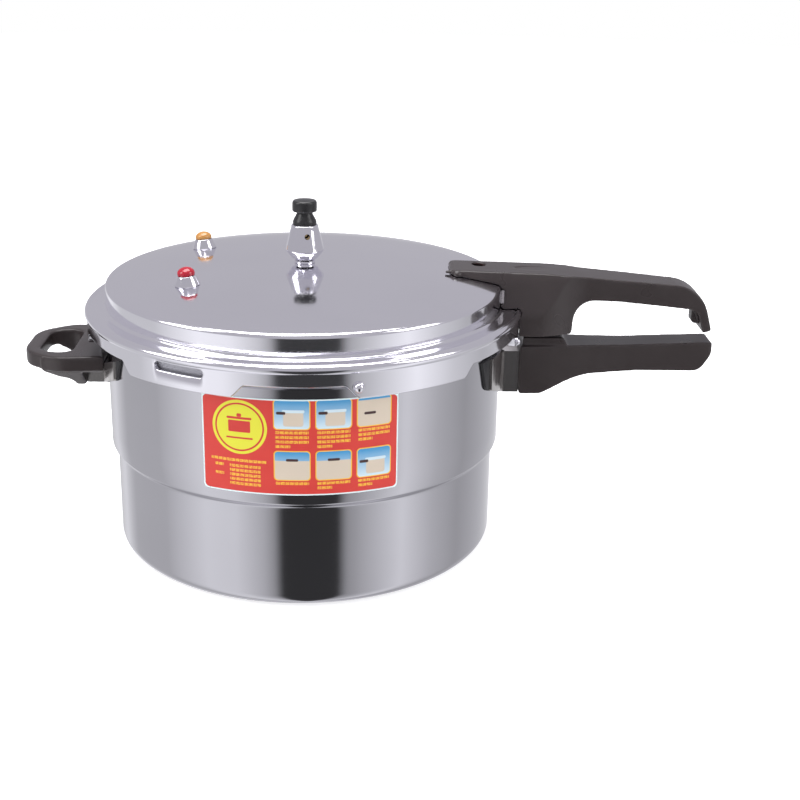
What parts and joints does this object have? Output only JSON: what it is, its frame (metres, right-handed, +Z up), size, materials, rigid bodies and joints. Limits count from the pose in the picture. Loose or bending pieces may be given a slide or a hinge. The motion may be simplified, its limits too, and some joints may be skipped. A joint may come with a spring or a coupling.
{
  "type": "pressure canner",
  "caption": "Deep aluminium pressure canner with bayonet lid, regulator weight, relief valves, steam rack, long twin handle and helper handle.",
  "frame": {"origin": "centre of the pot's base on the surface it stands on, on the pot's axis", "axes": "+Z up along the pot's axis, +X along the two long handles, -X the helper handle"},
  "size_m": [0.4987, 0.314, 0.2509],
  "materials": {
    "polished_aluminium": "polished, faint circular brushing",
    "lid_aluminium": "satin polished",
    "rack_aluminium": "satin",
    "aluminium_rivet": "satin",
    "bracket_steel": "brushed stainless sheet",
    "screw_steel": "bright zinc",
    "spring_steel": "bright wire",
    "chrome_plate": "mirror",
    "brass_metal": "machined",
    "black_bakelite": "moulded, satin gloss",
    "knob_plastic": "moulded, gloss",
    "black_rubber": "matte",
    "white_rubber": "matte silicone",
    "float_red": "gloss",
    "plug_red": "gloss, slightly translucent",
    "plug_orange": "gloss, slightly translucent",
    "label_print": "printed film"
  },
  "bodies": {
    "pot": {"pot_body": "polished_aluminium", "label": "label_print", "lower_handle": "black_bakelite", "lower_handle_bracket": "bracket_steel", "lower_handle_pad": "black_rubber", "lower_handle_rivets": "aluminium_rivet", "lower_handle_screw": "screw_steel", "helper_handle": "black_bakelite", "helper_handle_bracket": "bracket_steel", "helper_handle_pad": "black_rubber", "helper_handle_rivets": "aluminium_rivet", "helper_handle_screw": "screw_steel"},
    "rack": {"steam_rack": "rack_aluminium"},
    "lid": {"lid_shell": "lid_aluminium", "lid_gasket": "white_rubber", "upper_handle": "black_bakelite", "lid_bracket": "bracket_steel", "lid_bracket_rivets": "aluminium_rivet", "upper_handle_screw": "screw_steel", "lid_stop_rivets": "chrome_plate", "vent_pipe": "chrome_plate", "vent_washer": "white_rubber", "vent_nut": "screw_steel", "vent_filter_cap": "rack_aluminium", "float_grommet": "white_rubber", "red_valve_housing": "brass_metal", "red_valve_nut": "chrome_plate", "red_valve_seal": "white_rubber", "red_valve_spring": "spring_steel", "orange_valve_housing": "brass_metal", "orange_valve_nut": "chrome_plate", "orange_valve_seal": "white_rubber", "orange_valve_spring": "spring_steel"},
    "needle": {"weight_needle": "brass_metal"},
    "weight": {"pressure_weight": "chrome_plate", "weight_knob": "knob_plastic", "knob_stud": "screw_steel"},
    "float": {"float_pin": "float_red"},
    "red_plug": {"red_relief_plug": "plug_red"},
    "orange_plug": {"orange_relief_plug": "plug_orange"}
  },
  "joints": [
    {"name": "lid_turn", "type": "hinge", "parent": "pot", "child": "lid", "pos_m": [0, 0, 0.16], "axis": [0, 0, -1], "range_deg": [0, 30]},
    {"name": "rack_lift", "type": "slide", "parent": "pot", "child": "rack", "axis": [0, 0, 1], "range_m": [0, 0.07]},
    {"name": "weight_lift", "type": "slide", "parent": "lid", "child": "needle", "axis": [0, 0, 1], "range_m": [0, 0.03]},
    {"name": "weight_spin", "type": "hinge", "parent": "needle", "child": "weight", "pos_m": [0, 0, 0.22], "axis": [0, 0, 1], "continuous": true},
    {"name": "float_rise", "type": "slide", "parent": "lid", "child": "float", "axis": [0.177, 0.0085, 0.9842], "range_m": [0, 0.004]},
    {"name": "red_relief", "type": "slide", "parent": "lid", "child": "red_plug", "axis": [-0.084, -0.0567, 0.9949], "range_m": [0, 0.003], "stiffness_N_per_m": 2000, "springref_m": -0.001, "deforming": ["red_valve_spring"]},
    {"name": "orange_relief", "type": "slide", "parent": "lid", "child": "orange_plug", "axis": [-0.084, 0.0567, 0.9949], "range_m": [0, 0.003], "stiffness_N_per_m": 2000, "springref_m": -0.001, "deforming": ["orange_valve_spring"]}
  ]
}
